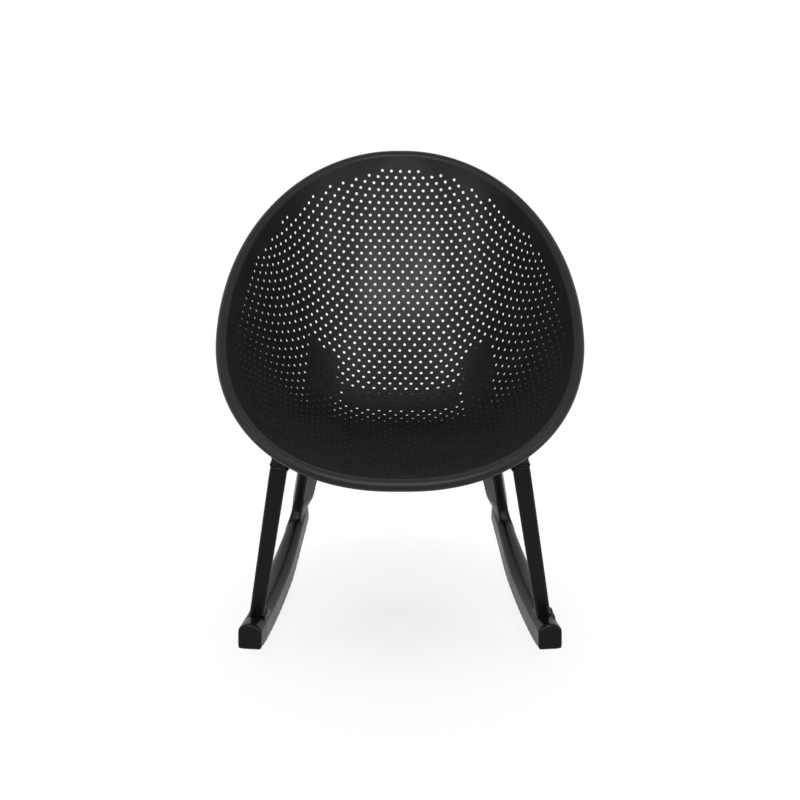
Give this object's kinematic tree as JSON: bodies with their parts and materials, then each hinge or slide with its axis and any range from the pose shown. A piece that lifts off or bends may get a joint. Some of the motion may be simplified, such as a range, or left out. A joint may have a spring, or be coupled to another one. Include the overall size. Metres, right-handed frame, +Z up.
{
  "type": "rocking chair",
  "caption": "Bucket rocking chair in dark moulded plastic: perforated egg-shaped shell with a rolled lip on two splayed rocker frames tied by bowed cross rails.",
  "frame": {"origin": "on the floor, under the middle of the chair's own box", "axes": "+X to the right as seen by someone facing the seat from the front, +Y to the back of the chair, +Z up"},
  "size_m": [0.6703, 0.7283, 0.8263],
  "materials": {
    "shell_plastic": "satin charcoal, fine moulded grain",
    "frame_plastic": "satin charcoal",
    "sole_rubber": "dull black",
    "bolt_steel": "zinc plated",
    "insert_brass": "bare"
  },
  "bodies": {
    "root": {"seat_shell": "shell_plastic", "left_rocker": "frame_plastic", "right_rocker": "frame_plastic", "left_front_leg": "frame_plastic", "right_front_leg": "frame_plastic", "left_rocker_sole": "sole_rubber", "right_rocker_sole": "sole_rubber", "front_cross_rail": "frame_plastic", "rear_cross_rail": "frame_plastic", "front_leg_bolts": "bolt_steel", "rear_leg_bolts": "bolt_steel", "front_leg_bolt_washers": "bolt_steel", "rear_leg_bolt_washers": "bolt_steel", "front_shell_inserts": "insert_brass", "rear_shell_inserts": "insert_brass", "front_leg_plug_screws": "bolt_steel", "front_leg_plug_washers": "bolt_steel"}
  },
  "joints": []
}
